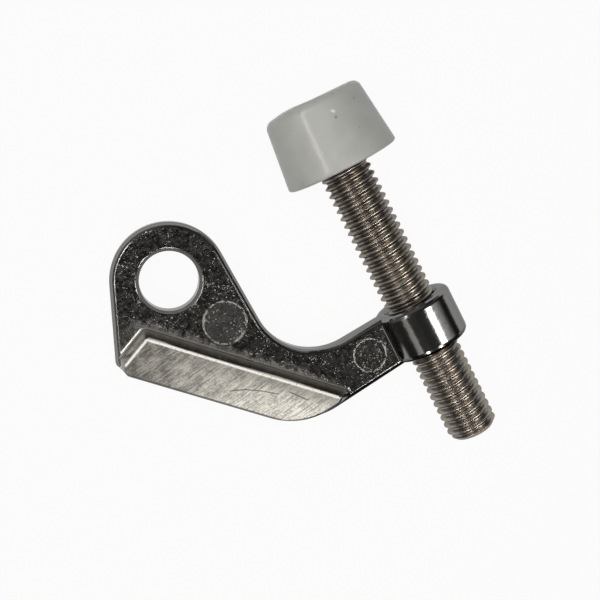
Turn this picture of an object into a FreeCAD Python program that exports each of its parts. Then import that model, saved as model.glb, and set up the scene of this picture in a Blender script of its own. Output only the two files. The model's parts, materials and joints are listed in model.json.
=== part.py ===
"""Hinge pin door stop: a die-cast bracket, an adjusting screw and a rubber bumper.

The bracket's eye slips over a door's hinge pin. Its pad bears on the door, and the bumper on the end of the
screw bears on the wall or trim. Millimetres, with the origin on the pin's axis at half the plate's thickness:
+Z runs along the hinge pin, +X along the pad, and the face that meets the door looks towards -Y.
"""
import FreeCAD
import Part

import math
import os

from FreeCAD import Vector

# Eye and plate
pin_bore_diameter = 8.8
bore_mouth_chamfer = 0.55
eye_wall = 4.25
plate_thickness = 4.2
plate_edge_radius = 0.9

# Pad that meets the door
door_face_offset = 14.55
plate_set_back = 0.25
pad_depth = 7.0
pad_width = 10.7
pad_draft = 13.5
pad_side_step = 0.1
pad_root_radius = 0.6
pad_edge_chamfer = 0.25
pad_corner_radius = 0.8
toe_reach = 3.5
toe_radius = 0.95
toe_wall_reach = 1.4
toe_wall_angle = 68.7
heel_radius = 10.0

# Arm between the eye and the screw boss
eye_flank_angle = -42.5
arm_angle = 48.0
arm_under_angle = 50.2
bay_radius = 9.4

# Screw boss
boss_centre_x = 38.6
boss_centre_y = 5.33
boss_wall = 2.1
boss_length = 7.8
boss_root_radius = 0.9
boss_edge_radius = 0.9
boss_mouth_chamfer = 0.5

# Ejector pin marks on the front of the casting
mark_depth = 0.1
arm_mark_x = 32.1
arm_mark_y = -1.6
arm_mark_diameter = 5.2
web_mark_x = 9.6
web_mark_y = -3.4
web_mark_diameter = 6.6

# Adjusting screw, at its crest diameter: the fine thread is a surface detail
screw_angle = 135.8
screw_diameter = 7.9
screw_bore_clearance = 0.08
screw_shown_length = 22.95
screw_free_length = 15.3
screw_end_chamfer = 0.8
neck_diameter = 7.0
neck_length = 0.3
head_diameter = 11.0
head_thickness = 2.6

# Rubber bumper
bumper_mouth_diameter = 17.7
bumper_tip_diameter = 15.4
bumper_height = 10.6
bumper_lip = 2.2
bumper_tip_radius = 1.0
bumper_mouth_chamfer = 0.3
bumper_clearance = 0.12

# Sizes and directions that follow from the ones above
eye_radius = pin_bore_diameter / 2 + eye_wall
half_plate = plate_thickness / 2
half_pad = pad_width / 2
screw_radius = screw_diameter / 2
boss_bore_radius = screw_radius + screw_bore_clearance
boss_radius = boss_bore_radius + boss_wall
bumper_mouth_at = boss_length / 2 + screw_shown_length
head_seat_at = bumper_mouth_at + bumper_lip

Z = Vector(0, 0, 1)
RIM_FLATS = 4  # flats that stand for a turned rim's quarter round
NEAR = 0.01  # room for rounding when an edge is picked by its place


def heading(degrees):
    """Unit vector in the plate's plane, turned by an angle from +X."""
    return Vector(math.cos(math.radians(degrees)), math.sin(math.radians(degrees)), 0)


def crossing(line_a, line_b):
    """Point where two lines in the plate's plane meet, each given as a point and a direction."""
    gap = line_b[0] - line_a[0]
    reach = gap.cross(line_b[1]).z / line_a[1].cross(line_b[1]).z
    return line_a[0] + line_a[1] * reach


def moved_left(line, distance):
    """The same line moved to the left of its own direction."""
    return line[0] + Z.cross(line[1]) * distance, line[1]


def path_edges(points, radii):
    """Straight edges through the points, each inner corner rounded by a tangent arc of its own radius."""
    edges = []
    here = points[0]
    for before, corner, after, radius in zip(points, points[1:], points[2:], radii):
        touch_in = touch_out = corner
        if radius > 0:
            back = (before - corner).normalize()
            ahead = (after - corner).normalize()
            half = back.getAngle(ahead) / 2
            touch_in = corner + back * (radius / math.tan(half))
            touch_out = corner + ahead * (radius / math.tan(half))
            belly = corner + (back + ahead).normalize() * (radius / math.sin(half) - radius)
            edges.append(Part.Arc(touch_in, belly, touch_out).toShape())
        edges.append(Part.LineSegment(here, touch_in).toShape())
        here = touch_out
    edges.append(Part.LineSegment(here, points[-1]).toShape())
    return edges


def closed_wire(edges):
    """One closed outline from edges in any order."""
    return Part.Wire(Part.__sortEdges__(edges))


def slab(wire, low, high):
    """Prism of a flat outline between two heights."""
    face = Part.Face(wire)
    face.translate(Z * low)
    return face.extrude(Z * (high - low))


def turned(points):
    """Solid turned about +Z from its (radius, height) points."""
    profile = Part.makePolygon([Vector(r, 0, h) for r, h in points + points[:1]])
    return Part.Face(profile).revolve(Vector(), Z, 360)


def rounded_rim(radius, height, rounding):
    """Points of a turned profile's upper outer corner, rounded in a few flats from its side to its top."""
    turns = [math.radians(90 * step / RIM_FLATS) for step in range(RIM_FLATS + 1)]
    return [(radius - rounding * (1 - math.cos(t)), height - rounding * (1 - math.sin(t))) for t in turns]


def along_screw(shape):
    """Place a shape made along +Z from the boss's centre onto the screw's axis."""
    placed = shape.copy()
    placed.Placement = FreeCAD.Placement(boss_centre, FreeCAD.Rotation(Z, to_bumper))
    return placed


# Lines and corner points of the bracket's outline, walked with the casting on their left
to_bumper = heading(screw_angle)
out_of_arm = heading(screw_angle - 90)
boss_centre = Vector(boss_centre_x, boss_centre_y, 0)
arm_stop = boss_centre - out_of_arm * boss_bore_radius
arm_end_upper = arm_stop + to_bumper * (boss_length / 2)
arm_end_lower = arm_stop - to_bumper * (boss_length / 2)
arm_upper_line = (arm_end_upper, heading(arm_angle + 180))
arm_lower_line = (arm_end_lower, heading(arm_under_angle))
door_line = (Vector(0, -door_face_offset, 0), heading(0))
plate_foot_line = moved_left(door_line, plate_set_back)

toe = Vector(-toe_reach, -door_face_offset, 0)
toe_bearing = math.degrees(math.atan2(toe.y, toe.x))
eye_touch_left = heading(toe_bearing - math.degrees(math.acos(eye_radius / toe.Length))) * eye_radius
eye_touch_right = heading(eye_flank_angle + 90) * eye_radius
toe_line = (eye_touch_left, (toe - eye_touch_left).normalize())
eye_flank_line = (eye_touch_right, heading(eye_flank_angle + 180))
heel = crossing(plate_foot_line, arm_lower_line)
bay = crossing(eye_flank_line, arm_upper_line)

pad_wall_y = pad_depth - door_face_offset
pad_wall_line = (Vector(0, pad_wall_y, 0), heading(180))
toe_wall_line = (Vector(-toe_wall_reach, pad_wall_y, 0), heading(toe_wall_angle + 180))


def plate_outline():
    """Closed outline of the plate: eye, bay, arm, heel, door edge and toe."""
    foot = crossing(plate_foot_line, toe_line)
    points = [eye_touch_right, bay, arm_end_upper, arm_end_lower, heel, foot, eye_touch_left]
    edges = path_edges(points, [bay_radius, 0, 0, heel_radius, toe_radius])
    edges.append(Part.Arc(eye_touch_left, Vector(0, eye_radius, 0), eye_touch_right).toShape())
    return closed_wire(edges)


def make_plate():
    """Flat web of the casting with its rounded rim."""
    plate = slab(plate_outline(), -half_plate, half_plate)
    return plate.makeFillet(plate_edge_radius, [e for e in plate.Edges if is_level(e)])


def bore_cutter(radius, length, chamfer):
    """Cutter for a hole along +Z, centred on the origin, that opens into a chamfered mouth at each end."""
    half = length / 2
    return turned([
        (0, -half - chamfer),
        (radius + 2 * chamfer, -half - chamfer),
        (radius, -half + chamfer),
        (radius, half - chamfer),
        (radius + 2 * chamfer, half + chamfer),
        (0, half + chamfer),
    ])


def is_level(edge):
    """True for an edge that lies flat in one of the plate's two faces."""
    box = edge.BoundBox
    return box.ZLength < NEAR and abs(abs(box.ZMin) - half_plate) < NEAR


def pad_corners(height):
    """Corners of the pad at a height above the mid plane: all walls but the door face lean in by the draft."""
    slope = math.tan(math.radians(pad_draft))
    door = door_line
    under = moved_left(arm_lower_line, pad_side_step + height * slope)
    inner = moved_left(pad_wall_line, (height - half_plate) * slope)
    toe_wall = moved_left(toe_wall_line, (height - half_plate) * slope)
    toe_edge = moved_left(toe_line, pad_side_step + height * slope)
    walls = [door, under, inner, toe_wall, toe_edge, door]
    return [crossing(one, other) + Z * height for one, other in zip(walls, walls[1:])]


def make_pad():
    """Bar across the plate that meets the door, drafted both ways from the parting plane."""
    low, high = pad_corners(0), pad_corners(half_pad)
    outlines = [low[::-1] + low[-1:], high + high[:1]]
    for here in range(len(low)):
        after = (here + 1) % len(low)
        outlines.append([low[here], low[after], high[after], high[here], low[here]])
    half = Part.Solid(Part.Shell([Part.Face(Part.makePolygon(points)) for points in outlines]))
    radii = [heel_radius, pad_corner_radius, pad_corner_radius, 0, toe_radius]
    for top, radius in zip(high, radii):
        if radius > 0:
            half = half.makeFillet(radius, [e for e in half.Edges if climbs_to(e, top)])
    rim = [e for e in half.Edges if e.BoundBox.ZMin > half_pad - NEAR]
    half = half.makeChamfer(pad_edge_chamfer, rim)
    return half.fuse(half.mirror(Vector(), Z))


def climbs_to(edge, point):
    """True for an edge that rises from the mid plane to a given corner."""
    ends_there = any(v.Point.distanceToPoint(point) < NEAR for v in edge.Vertexes)
    return ends_there and edge.BoundBox.ZLength > half_plate


def make_boss():
    """Round boss for the screw, with the concave webs that run it into the arm's two faces."""
    half = boss_length / 2
    upper_rim = rounded_rim(boss_radius, half, boss_edge_radius)
    lower_rim = [(radius, -height) for radius, height in reversed(upper_rim)]
    barrel = turned([(0, -half)] + lower_rim + upper_rim + [(0, half)])

    reach = boss_radius + boss_root_radius
    rise = half_plate + boss_root_radius
    centre = Vector(-math.sqrt(reach ** 2 - rise ** 2), rise, 0)
    touch = centre * (boss_radius / reach)
    foot = centre - Vector(0, boss_root_radius, 0)
    belly = centre + ((touch - centre) + (foot - centre)).normalize() * boss_root_radius
    mirrored = [Vector(v.x, -v.y, 0) for v in (foot, belly, touch)]
    web_half = half - boss_edge_radius
    web = slab(closed_wire([
        Part.Arc(foot, belly, touch).toShape(),
        Part.Arc(*mirrored).toShape(),
        Part.LineSegment(touch, mirrored[2]).toShape(),
        Part.LineSegment(mirrored[0], foot).toShape(),
    ]), -web_half, web_half)
    web.Placement = FreeCAD.Placement(boss_centre, FreeCAD.Rotation(out_of_arm, Z, to_bumper * -1, "ZXY"))
    return along_screw(barrel).fuse(web)


def is_pad_root(edge):
    """True for an edge where a wall of the pad rises from the plate."""
    box = edge.BoundBox
    pad_end = crossing(pad_wall_line, arm_lower_line)
    return is_level(edge) and box.YMax < pad_end.y + NEAR and box.XMax < pad_end.x


def make_bracket():
    """The casting: plate, pad and boss grown into one, then drilled for the hinge pin and the screw."""
    bracket = make_plate().fuse([make_pad(), make_boss()]).removeSplitter()
    bracket = bracket.makeFillet(pad_root_radius, [e for e in bracket.Edges if is_pad_root(e)])
    marks = [
        ejector_mark(arm_mark_x, arm_mark_y, arm_mark_diameter),
        ejector_mark(web_mark_x, web_mark_y, web_mark_diameter),
    ]
    pin_hole = bore_cutter(pin_bore_diameter / 2, plate_thickness, bore_mouth_chamfer)
    screw_hole = along_screw(bore_cutter(boss_bore_radius, boss_length, boss_mouth_chamfer))
    return bracket.cut([pin_hole, screw_hole] + marks)


def ejector_mark(x, y, diameter):
    """Cutter for the shallow round mark that an ejector pin leaves."""
    return Part.makeCylinder(diameter / 2, plate_thickness, Vector(x, y, half_plate - mark_depth))


def make_screw():
    """Plain screw with a chamfered free end, a narrow neck and the flat head that the bumper grips."""
    end = -boss_length / 2 - screw_free_length
    neck = neck_diameter / 2
    shoulder = bumper_mouth_at - neck_length
    head = head_seat_at + bumper_clearance
    return along_screw(turned([
        (0, end),
        (screw_radius - screw_end_chamfer, end),
        (screw_radius, end + screw_end_chamfer),
        (screw_radius, shoulder - (screw_radius - neck)),
        (neck, shoulder),
        (neck, head),
        (head_diameter / 2, head),
        (head_diameter / 2, head + head_thickness),
        (0, head + head_thickness),
    ]))


def make_bumper():
    """Tapered rubber cap with a lip that closes behind the screw's head."""
    mouth, tip = bumper_mouth_diameter / 2, bumper_tip_diameter / 2
    hole = neck_diameter / 2 + bumper_clearance
    pocket = head_diameter / 2 + bumper_clearance
    pocket_end = head_seat_at + head_thickness + 2 * bumper_clearance
    top = bumper_mouth_at + bumper_height
    points = [
        (hole, bumper_mouth_at),
        (mouth - bumper_mouth_chamfer, bumper_mouth_at),
        (mouth, bumper_mouth_at + bumper_mouth_chamfer),
    ]
    points += rounded_rim(tip, top, bumper_tip_radius)
    points += [
        (0, top),
        (0, pocket_end),
        (pocket, pocket_end),
        (pocket, head_seat_at),
        (hole, head_seat_at),
    ]
    return along_screw(turned(points))


def main():
    os.makedirs("parts", exist_ok=True)
    make_bracket().exportStep("parts/bracket.step")
    make_screw().exportStep("parts/adjusting_screw.step")
    make_bumper().exportStep("parts/bumper.step")


main()
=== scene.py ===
# %% [markdown]
# # A hinge pin door stop
#
# The stop is three pieces: a die-cast bracket that drops over a door's hinge pin, a long adjusting screw
# through the bracket's boss, and a rubber bumper on the screw's end. The measured model already holds
# their sizes and places, so this lesson only dresses them: a real thread for the screw, a softly rounded
# form for the bumper, and a finish for each piece that shows how it was made.

import json
import math

import bpy
import numpy as np
from mathutils import Matrix, Vector


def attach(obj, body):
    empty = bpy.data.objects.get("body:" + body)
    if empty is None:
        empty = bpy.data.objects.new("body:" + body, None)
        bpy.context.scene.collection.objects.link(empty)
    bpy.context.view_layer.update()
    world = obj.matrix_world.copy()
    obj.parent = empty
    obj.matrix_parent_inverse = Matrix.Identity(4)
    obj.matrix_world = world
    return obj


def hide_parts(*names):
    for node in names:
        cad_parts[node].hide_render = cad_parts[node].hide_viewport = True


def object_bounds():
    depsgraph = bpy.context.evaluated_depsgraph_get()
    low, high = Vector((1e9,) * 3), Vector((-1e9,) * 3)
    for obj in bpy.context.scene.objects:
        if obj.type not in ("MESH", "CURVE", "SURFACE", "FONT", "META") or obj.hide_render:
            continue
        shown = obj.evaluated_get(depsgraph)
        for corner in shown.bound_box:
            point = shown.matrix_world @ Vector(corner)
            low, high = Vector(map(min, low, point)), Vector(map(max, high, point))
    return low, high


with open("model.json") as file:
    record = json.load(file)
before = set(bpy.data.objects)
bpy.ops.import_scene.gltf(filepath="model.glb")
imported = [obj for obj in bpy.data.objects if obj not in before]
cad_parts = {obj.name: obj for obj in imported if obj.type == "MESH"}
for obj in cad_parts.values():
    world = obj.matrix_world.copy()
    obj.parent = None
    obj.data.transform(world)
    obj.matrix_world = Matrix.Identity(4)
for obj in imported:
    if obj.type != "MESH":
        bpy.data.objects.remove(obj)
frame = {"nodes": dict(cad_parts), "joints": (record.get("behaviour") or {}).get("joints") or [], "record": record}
cad_box = [list(corner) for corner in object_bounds()]
MM = 0.001
print("Pieces in the model:", sorted(frame["nodes"]))

# %% [markdown]
# The screw and the bumper are turned parts, so everything on them is placed by how far along the screw's
# axis it lies and how far out from it. The joint that turns the screw gives that axis, and the coupling
# gives the thread's pitch: the distance that the screw travels in one turn.

# %% Find the screw's axis and pitch
turn = next(joint for joint in frame["joints"] if joint["name"] == "screw_turn")
travel = frame["record"]["behaviour"]["couplings"][0]
screw_axis = np.array(turn["axis"]) / np.linalg.norm(turn["axis"])
boss_centre = np.array(turn["pos_m"])
upward = np.array([0.0, 0.0, 1.0])
sideways = np.cross(screw_axis, upward)
pitch = travel["ratio"] * 2 * math.pi


def corners_of(node):
    """All vertices of a node of the model, as rows of x, y, z."""
    mesh = frame["nodes"][node].data
    flat = np.empty(3 * len(mesh.vertices))
    mesh.vertices.foreach_get("co", flat)
    return flat.reshape(-1, 3)


def along_and_out(points):
    """Distance along the screw's axis from the boss's centre, and distance out from that axis."""
    offset = points - boss_centre
    along = offset @ screw_axis
    out = np.linalg.norm(offset - along[..., None] * screw_axis, axis=-1)
    return along, out


def unit(rows):
    """Each row divided by its length, or left near zero where it has none."""
    return rows / np.maximum(np.linalg.norm(rows, axis=1), 1e-9)[:, None]


print(f"Pitch {pitch / MM:.3f} mm, axis {np.round(screw_axis, 3)}")

# %% [markdown]
# A turned form is a surface of two parameters: a step along its profile and an angle round its axis. The
# next cell carries any profile round the screw's axis as whole arrays, and closes both ends with a fan to
# one point, so that the skin has no hole and every face looks outwards.


# %% Carry a profile round the axis
def ring_points(along, out, angles):
    """centre + along * axis + out * (cos(angle) * up + sin(angle) * side), for every step and angle."""
    round_axis = np.cos(angles)[..., None] * upward + np.sin(angles)[..., None] * sideways
    return boss_centre + along[..., None] * screw_axis + out[..., None] * round_axis


def closed_skin(name, rings, first_pole, last_pole):
    """Object over a grid of rings, where each ring joins the next one and a pole closes each end."""
    steps, turns = rings.shape[:2]
    grid = np.arange(steps * turns).reshape(steps, turns)
    ahead = np.roll(grid, -1, axis=1)
    quads = np.stack([grid[:-1], ahead[:-1], ahead[1:], grid[1:]], axis=-1).reshape(-1, 4)
    pole = np.full(turns, steps * turns)
    first_fan = np.stack([pole, ahead[0], grid[0]], axis=-1)
    last_fan = np.stack([pole + 1, grid[-1], ahead[-1]], axis=-1)
    points = np.concatenate([rings.reshape(-1, 3), [first_pole, last_pole]])
    mesh = bpy.data.meshes.new(name)
    mesh.from_pydata(points.tolist(), [], quads.tolist() + first_fan.tolist() + last_fan.tolist())
    mesh.shade_smooth()
    piece = bpy.data.objects.new(name, mesh)
    bpy.context.scene.collection.objects.link(piece)
    print(f"{name}: {len(mesh.vertices)} vertices, {len(mesh.polygons)} faces")
    return piece


# %% [markdown]
# ## The adjusting screw
#
# The real screw has a rolled metric thread. A modelled helix catches the light as the real one does, in
# short streaks across each turn, which a bump map would lose at the outline. First the plain screw of the
# measured model is read: where it ends, how wide it is, and where the neck under the bumper begins.

# %% Measure the plain screw
clear_of_head = 1 * MM
close = 0.01 * MM
screw_along, screw_out = along_and_out(corners_of("adjusting_screw"))
turned = np.unique(np.round(np.stack([screw_along, screw_out], axis=-1), 6), axis=0)
free_end = turned[0, 0]
head_end, head_radius = turned[-1]
neck_end, neck_radius = turned[turned[:, 0] < head_end - clear_of_head][-2]
crest_radius = turned[turned[:, 0] < neck_end - clear_of_head, 1].max()
neck_start = turned[(turned[:, 1] < neck_radius + close) & (turned[:, 0] > 0), 0].min()
print(f"Crest radius {crest_radius / MM:.2f} mm")
print(f"Neck from {neck_start / MM:.2f} to {neck_end / MM:.2f} mm")

# %% [markdown]
# A metric thread is a V with narrow flat crests and rounded roots, its sides leaning at sixty degrees to
# each other. The radius follows a triangle wave whose phase moves on by one with each pitch along the axis
# and back by one with each turn, which is what makes the thread right-handed. The groove fades out over the
# last turn before the neck. Where the plain screw is narrower than the crest, at its chamfered end and its
# neck, the plain form wins, so that the chamfer cuts the thread off as it does on a real screw.

# %% Wind the thread
root_share = 0.16
crest_share = 0.88
thread_depth = 0.62 * MM
crest_wear = 0.03 * MM
inside_model = 0.02 * MM
fading_turns = 0.9
faded_height = 0.75
thread_rows = 1060
neck_rows = 12
screw_sides = 72


def thread_height(along, angles):
    """1 on a crest, 0 in a root: a triangle wave of along / pitch - angle / turn, with both its tips cut
    flat and the corners softened."""
    phase = np.mod(along / pitch - angles / (2 * math.pi), 1.0)
    wave = np.abs(2 * phase - 1)
    ramp = np.clip((wave - root_share) / (crest_share - root_share), 0, 1)
    return 0.5 * ramp + 0.5 * ramp * ramp * (3 - 2 * ramp)


rows = np.concatenate([
    np.linspace(free_end, neck_start, thread_rows),
    np.linspace(neck_start, neck_end, neck_rows)[1:],
])
screw_angles = np.linspace(0, 2 * math.pi, screw_sides, endpoint=False)
row_grid, angle_grid = np.meshgrid(rows, screw_angles, indexing="ij")
before_head = turned[turned[:, 0] < neck_end - 1e-6]
plain = np.interp(rows, before_head[:, 0], before_head[:, 1])
height = thread_height(row_grid, angle_grid)
fading = np.clip((neck_start - row_grid) / (fading_turns * pitch), 0, 1)
groove = thread_depth * (1 - height * fading - (1 - fading) * faded_height)
threaded = np.where(row_grid < neck_start, crest_radius - crest_wear - groove, neck_radius)
radius = np.minimum(plain[:, None] - inside_model, threaded)
print(f"Thread: {(neck_start - free_end) / pitch:.1f} turns, root radius {radius.min() / MM:.2f} mm")

# %% [markdown]
# The free end gets a flat face of a few rings, and the head a few rings with broken edges. Every vertex
# also keeps its height on the thread, from 0 in a root to 1 on a crest, for the finish to use later.

# %% Close the screw with its end face and its head
lower_edge_cut = 0.2 * MM
upper_edge_cut = 0.3 * MM
under_head_radius = 3.9 * MM
head_top_radius = 2 * MM
end_face_crest = 0.8
end_share = np.linspace(0.15, 0.97, 5)
head_profile = np.array([
    [neck_end, under_head_radius],
    [neck_end, head_radius - lower_edge_cut],
    [neck_end + lower_edge_cut, head_radius],
    [head_end - upper_edge_cut, head_radius],
    [head_end, head_radius - upper_edge_cut],
    [head_end, head_top_radius],
])
end_shape = (len(end_share), screw_sides)
head_rings = np.repeat(head_profile[:, None], screw_sides, axis=1)
all_along = np.concatenate([np.full(end_shape, free_end), row_grid, head_rings[..., 0]])
all_out = np.concatenate([end_share[:, None] * radius[0], radius, head_rings[..., 1]])
all_angles = np.repeat(screw_angles[None, :], len(all_along), axis=0)
screw = closed_skin(
    "threaded_screw",
    ring_points(all_along, all_out, all_angles),
    boss_centre + free_end * screw_axis,
    boss_centre + head_end * screw_axis,
)
head_crest = np.ones(head_rings.shape[:2])
crest = np.concatenate([np.full(end_shape, end_face_crest), height * fading + (1 - fading), head_crest])
crest_values = screw.data.attributes.new("crest", "FLOAT", "POINT")
crest_values.data.foreach_set("value", np.concatenate([crest.ravel(), [end_face_crest, 1.0]]))
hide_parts("adjusting_screw")
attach(screw, "adjusting_screw")

# %% [markdown]
# ## The bumper
#
# The bumper is moulded rubber, so no corner on it is sharp. Its profile is a few straight runs, and each
# corner between two runs is replaced by an arc that touches both. The runs are the measured ones: the
# pocket that holds the screw's head, the lip behind it, the mouth, the tapered outside and the tip.


# %% Round a profile's corners
def rounded_run(corners, radii, steps=7):
    """Path through the corners, each of them replaced by an arc of its radius that touches both runs."""
    before, corner, after = corners[:-2], corners[1:-1], corners[2:]
    back = unit(before - corner)
    on = unit(after - corner)
    half = np.arccos(np.clip((back * on).sum(axis=1), -1, 1)) / 2
    centre = corner + unit(back + on) * (radii / np.sin(half))[:, None]
    first = corner + back * (radii / np.tan(half))[:, None] - centre
    last = corner + on * (radii / np.tan(half))[:, None] - centre
    sweep = math.pi - 2 * half
    share = np.linspace(0, 1, steps)[None, :]
    weight_first = np.sin((1 - share) * sweep[:, None]) / np.sin(sweep)[:, None]
    weight_last = np.sin(share * sweep[:, None]) / np.sin(sweep)[:, None]
    arcs = weight_first[..., None] * first[:, None] + weight_last[..., None] * last[:, None]
    arcs = arcs + centre[:, None]
    return np.concatenate([corners[:1], arcs.reshape(-1, 2), corners[-1:]])


# %% [markdown]
# The measured bumper gives the mouth, the tip, the lip and the pocket. Its outside is one straight taper,
# so two places on it are enough to find the radius at the mouth and at the tip.

# %% Measure the bumper
past_edge = 1 * MM
pocket_limit = 6.5 * MM
tip_thickness = 4 * MM
tip_corner = 2 * MM
bumper_along, bumper_out = along_and_out(corners_of("bumper"))
mouth = bumper_along.min()
tip = bumper_along.max()
lip_radius = bumper_out[bumper_along < mouth + close].min()
past_lip = (bumper_along > mouth + past_edge) & (bumper_out > lip_radius + past_edge)
in_pocket = past_lip & (bumper_out < pocket_limit) & (bumper_along < tip - tip_thickness)
lip_end = bumper_along[in_pocket].min()
pocket_end = bumper_along[in_pocket].max()
pocket_radius = bumper_out[in_pocket].max()
widest = bumper_out.argmax()
upper_side = np.where(bumper_along > tip - tip_corner, bumper_out, 0).argmax()
side_rise = bumper_along[upper_side] - bumper_along[widest]
slope = (bumper_out[upper_side] - bumper_out[widest]) / side_rise
mouth_radius = bumper_out[widest] - slope * (bumper_along[widest] - mouth)
tip_radius = mouth_radius + slope * (tip - mouth)
print(f"Bumper radius {mouth_radius / MM:.2f} to {tip_radius / MM:.2f} mm")
print(f"Pocket radius {pocket_radius / MM:.2f} mm")

# %% [markdown]
# Extra rings along each long run keep the faces even. The soft end is not quite flat: it swells by about a
# third of a millimetre on one side, as a smooth hill over the end face. A very slight sag along the side,
# always inwards, keeps the outline from looking machined, since a moulded cap shrinks a little as it cools.

# %% Make the bumper
corner_radii = np.array([0.3, 0.3, 0.25, 0.3, 0.4, 1.3]) * MM
ring_gap = 0.35 * MM
bumper_sides = 160
sag_depth = 0.03 * MM
sag_length = 1.7 * MM
sag_turn = 0.6
side_from = 7 * MM
side_blend = 1 * MM
hill_height = 0.36 * MM
hill_aside = 2.6 * MM
hill_width = 3.4 * MM
hill_depth = 2.0 * MM
corners = np.array([
    [pocket_end, 0.0],
    [pocket_end, pocket_radius],
    [lip_end, pocket_radius],
    [lip_end, lip_radius],
    [mouth, lip_radius],
    [mouth, mouth_radius],
    [tip, tip_radius],
    [tip, 0.0],
])
path = rounded_run(corners, corner_radii)[1:-1]
gaps = np.linalg.norm(np.diff(path, axis=0), axis=1)
reach = np.concatenate([[0], np.cumsum(gaps)])
even = np.unique(np.concatenate([reach, np.arange(0, reach[-1], ring_gap)]))
bumper_rows = np.interp(even, reach, path[:, 0])
bumper_radii = np.interp(even, reach, path[:, 1])
bumper_angles = np.linspace(0, 2 * math.pi, bumper_sides, endpoint=False)
along_grid, around_grid = np.meshgrid(bumper_rows, bumper_angles, indexing="ij")
sag = sag_depth * (1 + np.sin(2 * around_grid + sag_turn) * np.sin(along_grid / sag_length)) / 2
side_only = np.clip((bumper_radii - side_from) / side_blend, 0, 1)[:, None]
out_grid = bumper_radii[:, None] - sag * side_only
aside = out_grid * np.sin(around_grid)
near_tip = np.clip((along_grid - (tip - hill_depth)) / hill_depth, 0, 1) ** 2
swelling = hill_height * near_tip * np.exp(-((aside + hill_aside) / hill_width) ** 2)
tip_swelling = hill_height * math.exp(-(hill_aside / hill_width) ** 2)
bumper = closed_skin(
    "rubber_bumper",
    ring_points(along_grid + swelling, out_grid, around_grid),
    boss_centre + pocket_end * screw_axis,
    boss_centre + (tip + tip_swelling) * screw_axis,
)
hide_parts("bumper")
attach(bumper, "bumper")

# %% [markdown]
# ## The bracket
#
# The casting keeps its measured form. Its boss has rounded rims that the model makes of four flats each, so
# a copy of the mesh gets normals that turn evenly from the barrel to the end face: across the corner, a
# normal points straight away from the circle that the rounding arc's centre draws. The copy is merged
# first, since the model's own mesh is loose along its edges.

# %% Copy the casting with its vertices merged
node_mesh = frame["nodes"]["bracket"].data
loop_vertices = np.empty(len(node_mesh.loops), dtype=np.int32)
node_mesh.loops.foreach_get("vertex_index", loop_vertices)
loop_normals = np.empty(3 * len(node_mesh.loops))
node_mesh.corner_normals.foreach_get("vector", loop_normals)
loop_normals = loop_normals.reshape(-1, 3)
bracket_points = corners_of("bracket")
rounded = np.round(bracket_points, 7)
_, first_use, merged = np.unique(rounded, axis=0, return_index=True, return_inverse=True)
points = bracket_points[first_use]
triangles = merged.ravel()[loop_vertices].reshape(-1, 3)
print(f"Bracket: {len(bracket_points)} loose vertices merged to {len(points)}")

# %% Measure the casting's levels
pad_end = 31 * MM
spot = points[triangles.ravel()]
faces_up = (loop_normals[:, 2] > 0.9999) & (spot[:, 0] < pad_end) & (spot[:, 2] > 0)
levels, uses = np.unique(np.round(spot[faces_up, 2] / MM, 2), return_counts=True)
mark_level, face_level, pad_level = (float(level) for level in np.sort(levels[np.argsort(uses)[-3:]]))
print(f"Marks at {mark_level} mm, face at {face_level} mm, pad at {pad_level} mm")

# %% Turn the boss's rim normals evenly
rim_radius = 0.9 * MM
arc_margin = 0.02 * MM
same_way = 0.95
boss_reach = 5 * MM
spot_along, spot_out = along_and_out(spot)
along_boss = np.abs(spot_along) < boss_reach
boss_half = np.abs(spot_along[along_boss & (spot[:, 2] > face_level * MM)]).max()
boss_radius = spot_out[along_boss & (spot[:, 2] > pad_level * MM)].max()
outward = unit(spot - boss_centre - spot_along[:, None] * screw_axis)
over_end = np.maximum(np.abs(spot_along) - (boss_half - rim_radius), 0)
over_side = np.maximum(spot_out - (boss_radius - rim_radius), 0)
from_arc = over_side[:, None] * outward + (over_end * np.sign(spot_along))[:, None] * screw_axis
even_normal = unit(from_arc)
nearly_even = (even_normal * loop_normals).sum(axis=1) > same_way
on_rim = (np.abs(np.linalg.norm(from_arc, axis=1) - rim_radius) < arc_margin) & nearly_even
new_normals = np.where(on_rim[:, None], even_normal, loop_normals)
print(f"Boss radius {boss_radius / MM:.2f} mm, half length {boss_half / MM:.2f} mm")
print(f"Rim corners given even normals: {int(on_rim.sum())}")

# %% [markdown]
# The eye's mouth and the edge of the pad are narrow bevels in the model. The real ones are rounded, so
# their normals are spread too: nearly upright along a bevel's upper edge, and level along its lower edge.

# %% Soften the bevels of the eye and the pad
eye_reach = 5.2 * MM
eye_lean = 0.18
eye_top_depth = 0.15 * MM
pad_lean = 0.35
pad_top_depth = 0.1 * MM
pad_bevel_depth = 0.4 * MM
least_tilt, most_tilt = 0.45, 0.92
from_eye = np.linalg.norm(spot[:, :2], axis=1)
off_middle = np.abs(spot[:, 2])
tilt = np.abs(loop_normals[:, 2])
level = unit(loop_normals * [1, 1, 0])
upright = np.sign(loop_normals[:, 2:]) * [[0, 0, 1]]
sloped = (tilt > least_tilt) & (tilt < most_tilt)
eye_bevel = sloped & (from_eye < eye_reach)
eye_top = eye_bevel & (off_middle > face_level * MM - eye_top_depth)
pad_bevel = sloped & (off_middle > pad_level * MM - pad_bevel_depth) & (spot[:, 0] < pad_end)
pad_top = pad_bevel & (off_middle > pad_level * MM - pad_top_depth)
soft_top = unit(np.where(eye_top, eye_lean, pad_lean)[:, None] * level + upright)
new_normals = np.where((eye_bevel | pad_bevel)[:, None], level, new_normals)
new_normals = np.where((eye_top | pad_top)[:, None], soft_top, new_normals)
print(f"Bevel corners softened: {int(eye_bevel.sum())} on the eye, {int(pad_bevel.sum())} on the pad")

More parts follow.
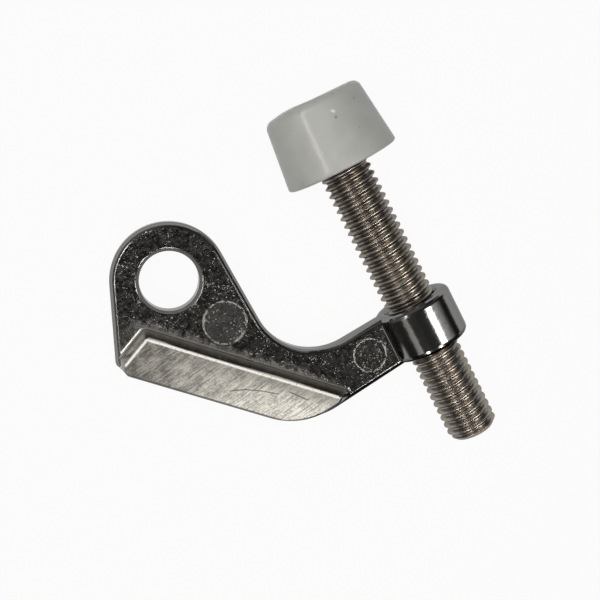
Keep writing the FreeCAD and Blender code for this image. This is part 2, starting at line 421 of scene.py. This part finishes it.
# %% [markdown]
# The plate's rim is a plain rounding in the model. On the casting it is a small radius above a wall that
# leans out for the die, so it turns away from the face sooner. The rim's normals get that turn: the share
# of a quarter turn that each one has made is raised to a power below one.

# %% Steepen the plate's rim
rim_power = 0.62
rim_start, rim_end = 0.99, 0.03
boss_margin = 0.3 * MM
near_boss = (np.abs(spot_along) < boss_half + boss_margin) & (spot_out < boss_radius + boss_margin)
on_plate_rim = (tilt > rim_end) & (tilt < rim_start) & (off_middle < face_level * MM + close)
on_plate_rim = on_plate_rim & (from_eye > eye_reach) & ~near_boss & ~pad_bevel
quarter_share = np.arccos(np.clip(tilt, 0, 1)) / (math.pi / 2)
steep_turn = quarter_share ** rim_power * math.pi / 2
steep_normal = np.sin(steep_turn)[:, None] * level + np.cos(steep_turn)[:, None] * upright
new_normals = np.where(on_plate_rim[:, None], steep_normal, new_normals)
print(f"Rim corners steepened: {int(on_plate_rim.sum())}")

# %% Put the casting together
casting_mesh = bpy.data.meshes.new("bracket_casting")
casting_mesh.from_pydata(points.tolist(), [], triangles.tolist())
casting_mesh.shade_smooth()
casting_mesh.normals_split_custom_set(new_normals.tolist())
casting = bpy.data.objects.new("bracket_casting", casting_mesh)
bpy.context.scene.collection.objects.link(casting)
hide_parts("bracket")
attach(casting, "bracket")
print(f"Casting: {len(casting_mesh.polygons)} triangles")

# %% [markdown]
# ## Writing finishes as sums
#
# A finish is a network of nodes, which is hard to read as a list. The class below wraps one socket, so that
# a mask is written as ordinary arithmetic and the Math nodes appear behind it. Any other node comes from
# its one method: the type, the settings, then a value or a wire for each socket.


# %% Wrap a socket
class Wire:
    """An output socket of a node tree. Arithmetic on it adds the Math node that works it out."""

    def __init__(self, tree, socket=None):
        self.tree = tree
        self.socket = socket

    def node(self, kind, settings, sockets, output=0):
        """A node of this kind: the settings are set first, then each socket takes a value or a wire."""
        made = self.tree.nodes.new(kind)
        for name, value in settings.items():
            setattr(made, name, value)
        for name, value in sockets.items():
            if isinstance(value, Wire):
                self.tree.links.new(value.socket, made.inputs[name])
            else:
                made.inputs[name].default_value = value
        return Wire(self.tree, made.outputs[output])

    def also(self, output):
        """Another output of the node that this wire leaves."""
        return Wire(self.tree, self.socket.node.outputs[output])

    def maths(self, operation, first, second=0.0):
        return self.node("ShaderNodeMath", {"operation": operation}, {0: first, 1: second})

    def __add__(self, other):
        return self.maths("ADD", self, other)

    def __radd__(self, other):
        return self.maths("ADD", other, self)

    def __sub__(self, other):
        return self.maths("SUBTRACT", self, other)

    def __rsub__(self, other):
        return self.maths("SUBTRACT", other, self)

    def __mul__(self, other):
        return self.maths("MULTIPLY", self, other)

    def __rmul__(self, other):
        return self.maths("MULTIPLY", other, self)

    def __abs__(self):
        return self.maths("ABSOLUTE", self)


# %% [markdown]
# A few small helpers cover most of what the finishes need: a soft step between two values, a band that is
# one between two soft steps, a mix of two colours, a stack of colours laid over each other, and cloudy
# noise, plain or drawn out into streaks. Places are turned into millimetres first, so that a noise scale
# reads as lumps in a millimetre.


# %% Small helpers for finishes
def soft_step(value, low, high):
    """0 below low, 1 above high, and an S-curve between."""
    ends = {"Value": value, "From Min": low, "From Max": high, "To Min": 0.0, "To Max": 1.0}
    return value.node("ShaderNodeMapRange", {"interpolation_type": "SMOOTHSTEP"}, ends)


def band(value, low, rise, fall, high):
    """0 outside low and high, and 1 between rise and fall."""
    return soft_step(value, low, rise) * (1 - soft_step(value, fall, high))


def blend(mask, first, second):
    """First colour where the mask is 0, second where it is 1."""
    return mask.node("ShaderNodeMix", {"data_type": "RGBA"}, {0: mask, 6: first, 7: second}, 2)


def layered(tone, layers):
    """Lay each colour over the tone so far, where its mask is 1."""
    for mask, colour in layers:
        tone = blend(mask, tone, colour)
    return tone


def grey(value):
    return (value, value, value, 1.0)


def vector(operation, first, second, output="Vector"):
    """Vector Math on two places or ways. A distance and a dot product leave by the output Value."""
    return first.node("ShaderNodeVectorMath", {"operation": operation}, {0: first, 1: second}, output)


def cloud(place, scale, detail=2.0):
    """Noise about 0.5, with this many lumps in a millimetre."""
    return place.node("ShaderNodeTexNoise", {}, {"Vector": place, "Scale": scale, "Detail": detail})


def streaks(place, degrees, long, short, detail=1.0):
    """Noise drawn out along a way in the plate's plane: lumps this long along it and this short across."""
    sockets = {"Vector": place, "Rotation": (0, 0, math.radians(degrees)), "Scale": (long, short, long)}
    return cloud(place.node("ShaderNodeMapping", {"vector_type": "TEXTURE"}, sockets), 1.0, detail)


# %% Start and finish a material
def new_finish(name):
    """A material and its places in millimetres."""
    material = bpy.data.materials.new(name)
    material.use_nodes = True
    start = Wire(material.node_tree)
    where = start.node("ShaderNodeTexCoord", {}, {}, "Object")
    sockets = {0: where, "Scale": 1 / MM}
    return material, start.node("ShaderNodeVectorMath", {"operation": "SCALE"}, sockets)


def bumped(height, distance):
    """Normals of a surface that rises by this distance where the height is 1."""
    return height.node("ShaderNodeBump", {}, {"Strength": 1.0, "Distance": distance, "Height": height})


def apply_finish(piece, material, sockets):
    """Give each socket of the shader its value or its wire, and the piece its material."""
    shader = material.node_tree.nodes["Principled BSDF"]
    for name, value in sockets.items():
        if isinstance(value, Wire):
            value.tree.links.new(value.socket, shader.inputs[name])
        else:
            shader.inputs[name].default_value = value
    piece.data.materials.append(material)
    print(f"{material.name}: {len(material.node_tree.nodes)} nodes on {piece.name}")


# %% [markdown]
# ## Plated casting
#
# The bracket is zinc under bright nickel. The plate copies the casting's skin, which is faintly pebbled, so
# the flat faces are dark mirrors full of fine bright specks. The rounded shoulders are painted brighter, a
# painted highlight along the edges. Two round marks show where ejector pins pushed the casting out of its
# die, each with a raised burr of metal as a thin pale ring. Their places are read from the mesh.


# %% Find the ejector marks
def middle_and_radius(disc_points):
    """Middle of a round set of points in millimetres, and its radius."""
    lowest, highest = disc_points.min(axis=0) / MM, disc_points.max(axis=0) / MM
    return (lowest + highest) / 2, (highest - lowest)[0] / 2


between_marks = 20 * MM
mark_floor = (np.abs(spot[:, 2] - mark_level * MM) < close) & (loop_normals[:, 2] > 0.999)
web_mark, web_mark_radius = middle_and_radius(spot[mark_floor & (spot[:, 0] < between_marks)])
arm_mark, arm_mark_radius = middle_and_radius(spot[mark_floor & (spot[:, 0] > between_marks)])
print(f"Marks at {np.round(web_mark, 2)} and {np.round(arm_mark, 2)} mm")
print(f"Mark radii {web_mark_radius:.2f} and {arm_mark_radius:.2f} mm")

# %% [markdown]
# Masks come first: numbers from 0 to 1 that say where something is. The cast skin is where the surface
# faces straight up or down at the plate's level. On it lie specks, a few hair scratches, a mottle of light
# and dark, and a pale cloud along the foot of the pad.

# %% Pebbled plate with specks
casting_finish, place = new_finish("bright_nickel_casting")
normal = place.node("ShaderNodeTexCoord", {}, {}, "Normal")
flat_place = vector("MULTIPLY", place, (1, 1, 0))
x = place.node("ShaderNodeSeparateXYZ", {}, {0: place})
y = x.also("Y")
z = x.also("Z")
facing = place.node("ShaderNodeSeparateXYZ", {}, {0: normal})
flatness = abs(facing.also("Z"))
above_face = z - face_level
as_cast = soft_step(flatness, 0.955, 0.99) * (1 - soft_step(abs(z), face_level + 0.1, face_level + 0.35))
pebble = cloud(place, 1.7, 3.0)
grit = cloud(place, 4.6, 2.0)
patches = cloud(place, 0.4, 2.0)
flecks = cloud(place, 3.2, 3.0)
glint = soft_step(flecks + 0.3 * (patches - 0.5), 0.63, 0.73) * as_cast
hairs = soft_step(streaks(place, 62, 1.5, 0.10), 0.70, 0.76)
hairs = (hairs + soft_step(streaks(place, -28, 1.3, 0.10), 0.72, 0.77)) * as_cast
mottle = soft_step(0.65 * pebble + 0.35 * grit, 0.36, 0.62) * as_cast
by_pad = (1 - soft_step(y - 2.2 * (pebble - 0.5), -7.6, -6.0)) * (1 - soft_step(above_face, 0.05, 0.2))
by_pad = by_pad * band(x, -6.0, -1.0, 24.0, 30.0)
print("Masks of the cast skin: specks, hairs, mottle and the pad's foot")

# %% [markdown]
# The ring round each ejector mark is the distance from the mark's centre, kept where it is close to the
# mark's radius, and only on the front face. The rings are lighter and stand up a little in the bump. The
# shoulders, the first part of each rounded edge, are painted lighter as a painted highlight. The rim that
# looks along the screw, on the arm's underside and on the boss, is painted nearly black as painted shade,
# a little less so on scattered dots.


# %% Rings, shoulders and the dull rim
def from_mark(centre):
    """Distance in the plane of the plate from a mark's centre."""
    return vector("DISTANCE", flat_place, (float(centre[0]), float(centre[1]), 0.0), "Value")


def ring(centre, mark_radius, width):
    """1 where the distance from the centre is within half a width of the radius, on the front face only."""
    wander = from_mark(centre) + 0.3 * (pebble - 0.5)
    edges = (mark_radius - 0.75 * width, mark_radius - 0.35 * width, mark_radius + 0.35 * width)
    return band(wander, *edges, mark_radius + 0.75 * width) * on_front


ring_inset = 0.1
on_front = band(above_face, -0.4, -0.2, 0.4, 0.8)
rings = ring(web_mark, web_mark_radius - ring_inset, 0.22)
rings = rings + 0.8 * ring(arm_mark, arm_mark_radius - ring_inset, 0.18)
rings = rings * (0.3 + 0.8 * soft_step(pebble, 0.4, 0.62))
disc = (1 - soft_step(from_mark(web_mark), web_mark_radius - 0.4, web_mark_radius)) * on_front
# Painted highlight: the first part of each rounded edge is painted lighter.
painted_shoulder_highlight = band(flatness, 0.86, 0.91, 0.965, 0.985)
leaning = vector("DOT_PRODUCT", normal, tuple(-float(part) for part in screw_axis), "Value")
# Painted shade: the rim facing along the screw is painted nearly black, a little less on scattered dots.
painted_dark_rim = band(leaning, 0.12, 0.3, 0.85, 0.97) * soft_step(x, 22.0, 26.0)
dotted = soft_step(grit + pebble, 0.95, 1.1) * (1 - soft_step(x, 30.0, 32.0))
print("Masks of the rings, the shoulders and the dull rim")

# %% [markdown]
# The front of the pad was ground flat after casting. Grinding leaves fine parallel strokes, so the noise is
# stretched along one direction, a few pits that the wheel did not reach, and a couple of long scratches.
# The ground face is painted paler towards the end away from the toe and towards its lower edge, a painted
# pool of light, and darker near its upper edge as painted shade. The pad's upper and toe edges are painted
# bright as a painted highlight, and the ground face's lower edge is painted dark as painted shade.


# %% Edges of the pad
def near_line(first, last, width):
    """1 on the straight line between two places in the plane of the plate, fading out at this distance."""
    step = (last[0] - first[0], last[1] - first[1], 0.0)
    square = step[0] ** 2 + step[1] ** 2
    offset = vector("SUBTRACT", flat_place, (first[0], first[1], 0.0))
    share = vector("DOT_PRODUCT", offset, step, "Value") * (1 / square)
    share = place.node("ShaderNodeClamp", {}, {"Value": share})
    foot = place.node("ShaderNodeVectorMath", {"operation": "SCALE"}, {0: step, "Scale": share})
    return 1 - soft_step(vector("DISTANCE", offset, foot, "Value"), 0.25 * width, width)


on_pad = 1 - soft_step(x, 30.0, 31.0)
below_pad = z - pad_level
ground = soft_step(below_pad, -0.10, -0.04) * on_pad
on_edge = soft_step(below_pad, -0.30, -0.20) * on_pad
upper_edge = band(y, -8.94, -8.78, -8.45, -8.25)
toe_edge = near_line((-0.78, -8.87), (-2.48, -13.16), 0.30)
# Painted highlight: the pad's upper and toe edges are painted nearly white.
painted_pad_edge_highlight = (upper_edge + toe_edge) * on_edge * soft_step(grit + 0.5 * pebble, 0.50, 0.66)
# Painted shade: the ground face is painted dark along its lower edge.
painted_lower_edge_shade = (1 - soft_step(y, -14.30, -14.12)) * ground
# Painted highlight: a lighter line along the concave root of the pad's wall.
painted_root_highlight = band(above_face, 0.02, 0.10, 0.22, 0.42) * on_pad * (1 - soft_step(flatness, 0.985, 0.999))
pad_wall = soft_step(above_face, 0.25, 0.6) * (1 - on_edge) * on_pad
# Painted light: the pad's wall is painted lighter towards its foot, fading out upwards.
painted_wall_foot_light = pad_wall * (1 - soft_step(above_face, 0.4, 2.8)) * soft_step(facing.also("Y"), -0.6, -0.3)
drawn = streaks(place, 0, 2.5, 0.25, 2.0)
print("Masks of the pad's edges and wall")

# %% Ground face of the pad
scratch_runs = [
    ((12.98, -12.34), (15.01, -11.51), 0.13),
    ((15.01, -11.51), (17.47, -11.01), 0.12),
    ((17.47, -11.01), (19.87, -10.76), 0.09),
    ((21.48, -9.97), (24.42, -10.34), 0.12),
]
scratches = sum(near_line(*run) for run in scratch_runs)
strokes = streaks(place, 53, 3.2, 0.11)
fine_strokes = streaks(place, 47, 1.8, 0.06)
smears = cloud(place, 0.6, 3.0)
pits = soft_step(cloud(place, 1.5, 2.0) - 0.012 * x, 0.66, 0.72)
# Painted light: the ground face grows paler as x grows and towards its lower edge; painted shade darkens it near
# its upper edge.
painted_light_gradient = soft_step(x * (1 - 0.13 * (y + 11.5)) + 12.0 * (smears - 0.5), -7.0, 28.5)
edge_shade = soft_step(y, -11.2, -9.2) * soft_step(x, 4.0, 22.0)
grain = 0.35 * strokes + 0.35 * fine_strokes + 0.3 * grit
stroke_mix = soft_step(grain + 0.2 * (smears - 0.5), 0.42, 0.58)
print(f"Masks of the ground face, with {len(scratch_runs)} scratch runs")

# %% [markdown]
# The colours are laid over each other by these masks: a dark nickel base, lighter on specks and rings,
# painted highlights on the shoulders, along the pad's root and at the foot of its wall, and a paler nickel
# on the ground face.

# %% Colours of the casting
pebbled_tone = blend(mottle, grey(0.09), (0.27, 0.263, 0.248, 1.0))
cast_tone = layered(blend(as_cast, (0.215, 0.212, 0.205, 1.0), pebbled_tone), [
    (by_pad * 0.5, (0.33, 0.32, 0.30, 1.0)),
    (pad_wall * (0.3 + 0.7 * drawn), (0.27, 0.255, 0.23, 1.0)),
    (painted_wall_foot_light * (0.6 + 0.5 * drawn), (0.42, 0.395, 0.35, 1.0)),
    (painted_root_highlight * 0.9, (0.44, 0.42, 0.385, 1.0)),
    (glint * 0.6, grey(0.42)),
    (hairs * 0.35, grey(0.5)),
    (painted_shoulder_highlight * (0.05 + 0.6 * (pebble - 0.3)), grey(0.5)),
    (disc * (0.2 + 0.8 * grit), (0.30, 0.295, 0.28, 1.0)),
    (rings * 0.7, (0.36, 0.35, 0.33, 1.0)),
])
between_strokes = blend(painted_light_gradient, (0.075, 0.073, 0.067, 1.0), (0.38, 0.372, 0.345, 1.0))
on_strokes = blend(painted_light_gradient, (0.21, 0.204, 0.188, 1.0), (0.97, 0.945, 0.885, 1.0))
ground_tone = layered(blend(stroke_mix, between_strokes, on_strokes), [
    (edge_shade * (0.2 + 0.7 * smears), (0.20, 0.195, 0.18, 1.0)),
    (pits, grey(0.06)),
    (scratches * 0.8, grey(0.10)),
    (painted_lower_edge_shade * 0.85, grey(0.05)),
])
tone = layered(cast_tone, [
    (ground, ground_tone),
    (painted_pad_edge_highlight, (0.95, 0.93, 0.88, 1.0)),
    (painted_dark_rim * (1 - 0.2 * dotted), grey(0.004)),
])
print("Colours of the casting laid")

# %% [markdown]
# Plain nickel is all metal. Where its skin is cloudy, part of it scatters light like paint instead, and the
# ground face is mostly like that, since its strokes throw light every way. The bump adds the pebbles, the
# strokes and the scratches.

# %% Shine and relief of the casting
skin_rise = 0.13 * MM
cloudy_skin = mottle * (0.11 - 0.08 * soft_step(x, -6.0, 24.0)) + 0.07 * disc + 0.2 * by_pad
# The painted highlights along the pad's root and at the foot of its wall also scatter light like paint, which
# lifts them further.
cloudy_wall_and_painted_light = 0.35 * painted_root_highlight + (0.1 + 0.25 * drawn) * pad_wall + 0.55 * painted_wall_foot_light
metalness = (1 - cloudy_skin - cloudy_wall_and_painted_light) * (1 - 0.45 * glint - 0.3 * hairs - 0.4 * rings)
cast_dullness = 0.11 + 0.08 * patches + 0.10 * glint + 0.2 * rings + 0.15 * by_pad
ground_dullness = 0.36 + 0.16 * fine_strokes
cast_height = as_cast * (0.2 * pebble + 0.12 * grit + 0.3 * glint + 0.4 * rings)
cast_height = cast_height + 0.08 * pebble + 0.2 * patches
ground_height = 0.22 * strokes + 0.12 * fine_strokes - 0.4 * scratches - 0.4 * pits
apply_finish(casting, casting_finish, {
    "Specular Tint": grey(0.55),
    "Base Color": tone,
    "Metallic": metalness * (1 - 0.85 * ground),
    "Roughness": cast_dullness * (1 - ground) + ground_dullness * ground,
    "Normal": bumped(cast_height * (1 - ground) + ground_height * ground, skin_rise),
})

# %% [markdown]
# ## Plated screw
#
# The screw is steel under a warmer, thinner plate. Its crests are polished by the die, and its roots are
# painted darker as painted shade, placed directly by the thread's own height attribute.

# %% Screw finish
screw_rise = 0.012 * MM
screw_finish, place = new_finish("warm_plated_steel")
crest_height = place.node("ShaderNodeAttribute", {"attribute_name": "crest"}, {}, "Fac")
rolled = cloud(place, 3.2, 3.0)
stain = cloud(place, 0.5, 2.0)
# Painted shade: the thread's roots are darkened by their height on the thread.
root = 1 - soft_step(crest_height, 0.05, 0.55)
screw_tone = blend(stain, (0.345, 0.313, 0.272, 1.0), (0.305, 0.281, 0.254, 1.0))
apply_finish(screw, screw_finish, {
    "Base Color": blend(root * 0.5 * rolled, screw_tone, (0.10, 0.086, 0.072, 1.0)),
    "Metallic": 1.0,
    "Roughness": 0.25 + 0.12 * rolled,
    "Specular Tint": grey(0.5),
    "Normal": bumped(rolled, screw_rise),
})

# %% [markdown]
# ## Grey rubber
#
# The bumper is filled rubber with a skin from a fairly smooth mould: a soft, wide sheen, a faint cloudiness
# in the grey, and a few dark specks of filler. Use has left one pale nick and a few specks of dirt.

# %% Rubber finish
rubber_rise = 0.01 * MM
rubber_finish, place = new_finish("light_grey_rubber")
cloudiness = cloud(place, 0.45, 3.0)
skin_grain = cloud(place, 5.0, 2.0)
dots = place.node("ShaderNodeTexVoronoi", {}, {"Vector": place, "Scale": 0.42, "Randomness": 1.0})
dot_chance = place.node("ShaderNodeSeparateColor", {}, {0: dots.also("Color")})
filler = (1 - soft_step(dots, 0.035, 0.075)) * soft_step(dot_chance, 0.55, 0.6)


def rubber_spots(spots):
    """Sum of spots on the rubber: each has a place, a size at which it has faded to 0, and a strength."""
    shares = []
    for centre, size, strength in spots:
        apart = vector("DISTANCE", place, centre, "Value") + 0.5 * size * (skin_grain - 0.5)
        shares.append(strength * (1 - soft_step(apart, 0.35 * size, size)))
    return sum(shares)


nick = rubber_spots([
    ((14.23, 30.35, 7.83), 0.36, 1.0),
    ((13.90, 30.30, 7.80), 0.26, 0.5),
])
dirt = rubber_spots([
    ((14.82, 29.68, 7.95), 0.36, 1.0),
    ((16.69, 33.28, 6.25), 0.30, 0.7),
    ((13.47, 32.68, 6.92), 0.30, 0.6),
    ((18.50, 29.41, 7.69), 0.24, 0.6),
])
pale_and_paler = ((0.422, 0.436, 0.424, 1.0), (0.452, 0.466, 0.455, 1.0))
rubber_tone = layered(blend(soft_step(cloudiness, 0.3, 0.7), *pale_and_paler), [
    (filler * 0.5, (0.16, 0.16, 0.15, 1.0)),
    (dirt * 0.5, (0.14, 0.14, 0.13, 1.0)),
    (nick * 0.8, (0.80, 0.80, 0.77, 1.0)),
])
apply_finish(bumper, rubber_finish, {
    "Base Color": rubber_tone,
    "Roughness": 0.42 + 0.14 * cloudiness,
    "Coat Weight": 0.16 + 0.24 * cloudiness,
    "Specular IOR Level": 0.35,
    "Coat Roughness": 0.17,
    "Normal": bumped(skin_grain, rubber_rise),
})

# %% [markdown]
# ## Floor, light and camera
#
# The stop lies on a white sheet. The sheet shows as white to the camera and in the metal's reflections, and
# keeps a little ordinary paint so that the stop still throws a faint shadow on it.

# %% White sheet
below_stop = 0.1 * MM
reach_out = 3.0
paint_tone = 0.6
glow_share = 0.94
sheet_level = cad_box[0][2] - below_stop
sheet_mesh = bpy.data.meshes.new("white_sheet")
corner_ways = np.array([[-1, -1, 0], [1, -1, 0], [1, 1, 0], [-1, 1, 0]])
sheet_corners = reach_out * corner_ways + [0, 0, sheet_level]
sheet_mesh.from_pydata(sheet_corners.tolist(), [], [(0, 1, 2, 3)])
sheet = bpy.data.objects.new("white_sheet", sheet_mesh)
bpy.context.scene.collection.objects.link(sheet)
sheet_finish = bpy.data.materials.new("white_paper")
sheet_finish.use_nodes = True
sheet_tree = sheet_finish.node_tree
sheet_tree.nodes.remove(sheet_tree.nodes["Principled BSDF"])
start = Wire(sheet_tree)
ray = start.node("ShaderNodeLightPath", {}, {}, "Is Camera Ray")
seen = ray.maths("MAXIMUM", ray, ray.also("Is Glossy Ray"))
seen = ray.maths("MAXIMUM", seen, ray.also("Is Transmission Ray"))
paint = start.node("ShaderNodeBsdfDiffuse", {}, {"Color": grey(paint_tone)})
glow = start.node("ShaderNodeEmission", {}, {"Color": grey(1.0), "Strength": 1.0})
both = start.node("ShaderNodeMixShader", {}, {0: glow_share * seen, 1: paint, 2: glow})
sheet_tree.links.new(both.socket, sheet_tree.nodes["Material Output"].inputs["Surface"])
sheet.data.materials.append(sheet_finish)
print(f"Sheet at {sheet_level / MM:.2f} mm")

# %% [markdown]
# Metal is only as bright as what it reflects. The room is nearly dark overhead, so the flat faces stay
# dark, with dim walls low round the horizon that the sides pick up. One soft glow on the right shows only
# in reflections.

# %% World with dim walls
wall_light = 0.20
glow_light = 0.75
world = bpy.data.worlds.new("studio")
world.use_nodes = True
bpy.context.scene.world = world
sky = Wire(world.node_tree)
direction = sky.node("ShaderNodeTexCoord", {}, {}, "Generated")
rise = sky.node("ShaderNodeSeparateXYZ", {}, {0: direction}).also("Z")


def towards(azimuth):
    """How far a ray leans towards an azimuth, from -1 to 1."""
    way = (math.cos(math.radians(azimuth)), math.sin(math.radians(azimuth)), 0.0)
    return vector("DOT_PRODUCT", direction, way, "Value")


low_walls = 1 - soft_step(rise, 0.15, 0.40)
left_wall = (1 - soft_step(rise, 0.55, 0.80)) * soft_step(towards(172), 0.30, 0.60)
dark_right = soft_step(towards(18), 0.45, 0.75)
dark_left = soft_step(towards(240), 0.50, 0.80)
walls = wall_light * sky.maths("MAXIMUM", left_wall, low_walls * (1 - dark_right) * (1 - dark_left))
glow_width = 1 - soft_step(abs(towards(117)), 0.10, 0.30)
right_glow = band(rise, 0.28, 0.72, 0.80, 0.92) * glow_width * soft_step(towards(27), 0.20, 0.40)
mirrored_ray = sky.node("ShaderNodeLightPath", {}, {}, "Is Glossy Ray")
overhead = 0.025 + 0.035 * soft_step(rise, 0.25, 0.60)
brightness = overhead + walls * (0.3 + 0.7 * mirrored_ray) + glow_light * right_glow * mirrored_ray
backdrop = world.node_tree.nodes["Background"]
backdrop.inputs["Color"].default_value = grey(1.0)
world.node_tree.links.new(brightness.socket, backdrop.inputs["Strength"])
bpy.context.scene.view_settings.view_transform = "Standard"
print(f"World: {len(world.node_tree.nodes)} nodes")

# %% [markdown]
# A wide fill lights the rubber and the ground face, and stays out of the reflections. The other lamps are
# cards that only show in reflections: a box on the right and a strip on the left for the streaks along the
# boss, a dim card low on the left, and two narrow strips in front, lying along the screw, for the two
# bright lines down its thread.

# %% Lamps
lamp_distance = 0.40
lamp_colour = (1.0, 0.965, 0.915)
target = Vector((19.7199, 2.9827, -0.65)) * MM
screw_way = Vector(screw_axis)


def soft_box(name, azimuth, from_vertical, width, height, radiance, along=None):
    """Rectangular lamp that looks at the stop from an azimuth and an angle from straight up, in degrees.
    Its width lies level, or along a given way. Its power is radiance * pi * area."""
    lamp = bpy.data.lights.new(name, "AREA")
    lamp.shape = "RECTANGLE"
    lamp.size = width
    lamp.size_y = height
    lamp.energy = radiance * math.pi * width * height
    lamp.color = lamp_colour
    box = bpy.data.objects.new(name, lamp)
    bpy.context.scene.collection.objects.link(box)
    lean = math.radians(from_vertical)
    turned_to = math.radians(azimuth)
    level_way = Vector((math.cos(turned_to), math.sin(turned_to), 0.0))
    back = math.sin(lean) * level_way + Vector((0.0, 0.0, math.cos(lean)))
    across = along or Vector((-math.sin(turned_to), math.cos(turned_to), 0.0))
    across = (across - across.dot(back) * back).normalized()
    rotation = Matrix((across, back.cross(across), back)).transposed().to_4x4()
    box.matrix_world = Matrix.Translation(target + lamp_distance * back) @ rotation
    return box


fill = soft_box("fill", 195, 10, 0.29, 0.29, 5.7)
fill.visible_glossy = False
cards = [
    soft_box("right_box", 17, 31.5, 0.10, 0.095, 14.0),
    soft_box("left_strip", 187, 39, 0.24, 0.05, 14.0),
    soft_box("low_left", 244, 49, 0.30, 0.10, 0.8),
    soft_box("front_right", -28, 48, 0.15, 0.035, 29.0, screw_way),
    soft_box("front_left", -72.5, 50, 0.15, 0.035, 26.0, screw_way),
]
for card in cards:
    card.visible_diffuse = False
print("Lamps:", [lamp.name for lamp in [fill, *cards]])

# %% [markdown]
# The camera stands above the stop and a little to its left, as in the photograph. Its place and lens were
# found by matching the measured model's outline.

# %% Camera
lens = bpy.data.cameras.new("camera")
lens.sensor_width = 36.0
lens.lens = 64.2126
lens.clip_start = 0.01
camera = bpy.data.objects.new("camera", lens)
bpy.context.scene.collection.objects.link(camera)
camera_place = Vector((-9.8958, 13.0166, 157.9603)) * MM
picture_up = Vector((-0.316, 0.949, 0.0))
backward = (camera_place - target).normalized()
camera_right = picture_up.cross(backward).normalized()
camera_up = backward.cross(camera_right)
camera_turn = Matrix((camera_right, camera_up, backward)).transposed().to_4x4()
camera.matrix_world = Matrix.Translation(camera_place) @ camera_turn
bpy.context.scene.camera = camera
print("Camera at", [round(value / MM, 1) for value in camera_place], "mm")
